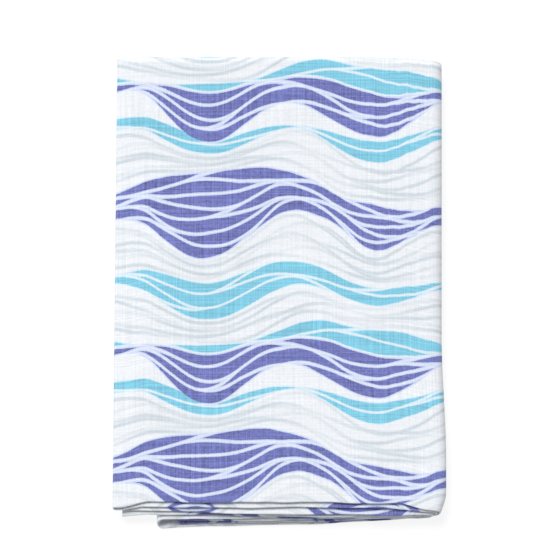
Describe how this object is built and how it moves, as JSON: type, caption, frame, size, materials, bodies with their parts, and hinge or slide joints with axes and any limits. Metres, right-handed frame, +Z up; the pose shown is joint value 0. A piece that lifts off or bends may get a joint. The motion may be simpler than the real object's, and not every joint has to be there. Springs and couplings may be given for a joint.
{
  "type": "folded tenugui towel",
  "caption": "Thin printed cotton hand towel, doubled along its length and folded back and forth into a flat pile that lies face up on a surface.",
  "frame": {"origin": "on the surface that the towel lies on, under the middle of its box", "axes": "+X to the right along the panels, +Y from the folded lower edges to the selvedges, +Z up out of the front panel"},
  "size_m": [0.1242, 0.1752, 0.0114],
  "materials": {
    "printed_cotton": "matt plain weave, printed with wave stripes in violet blue, sky blue and white"
  },
  "bodies": {
    "root": {"towel": "printed_cotton"}
  },
  "joints": []
}
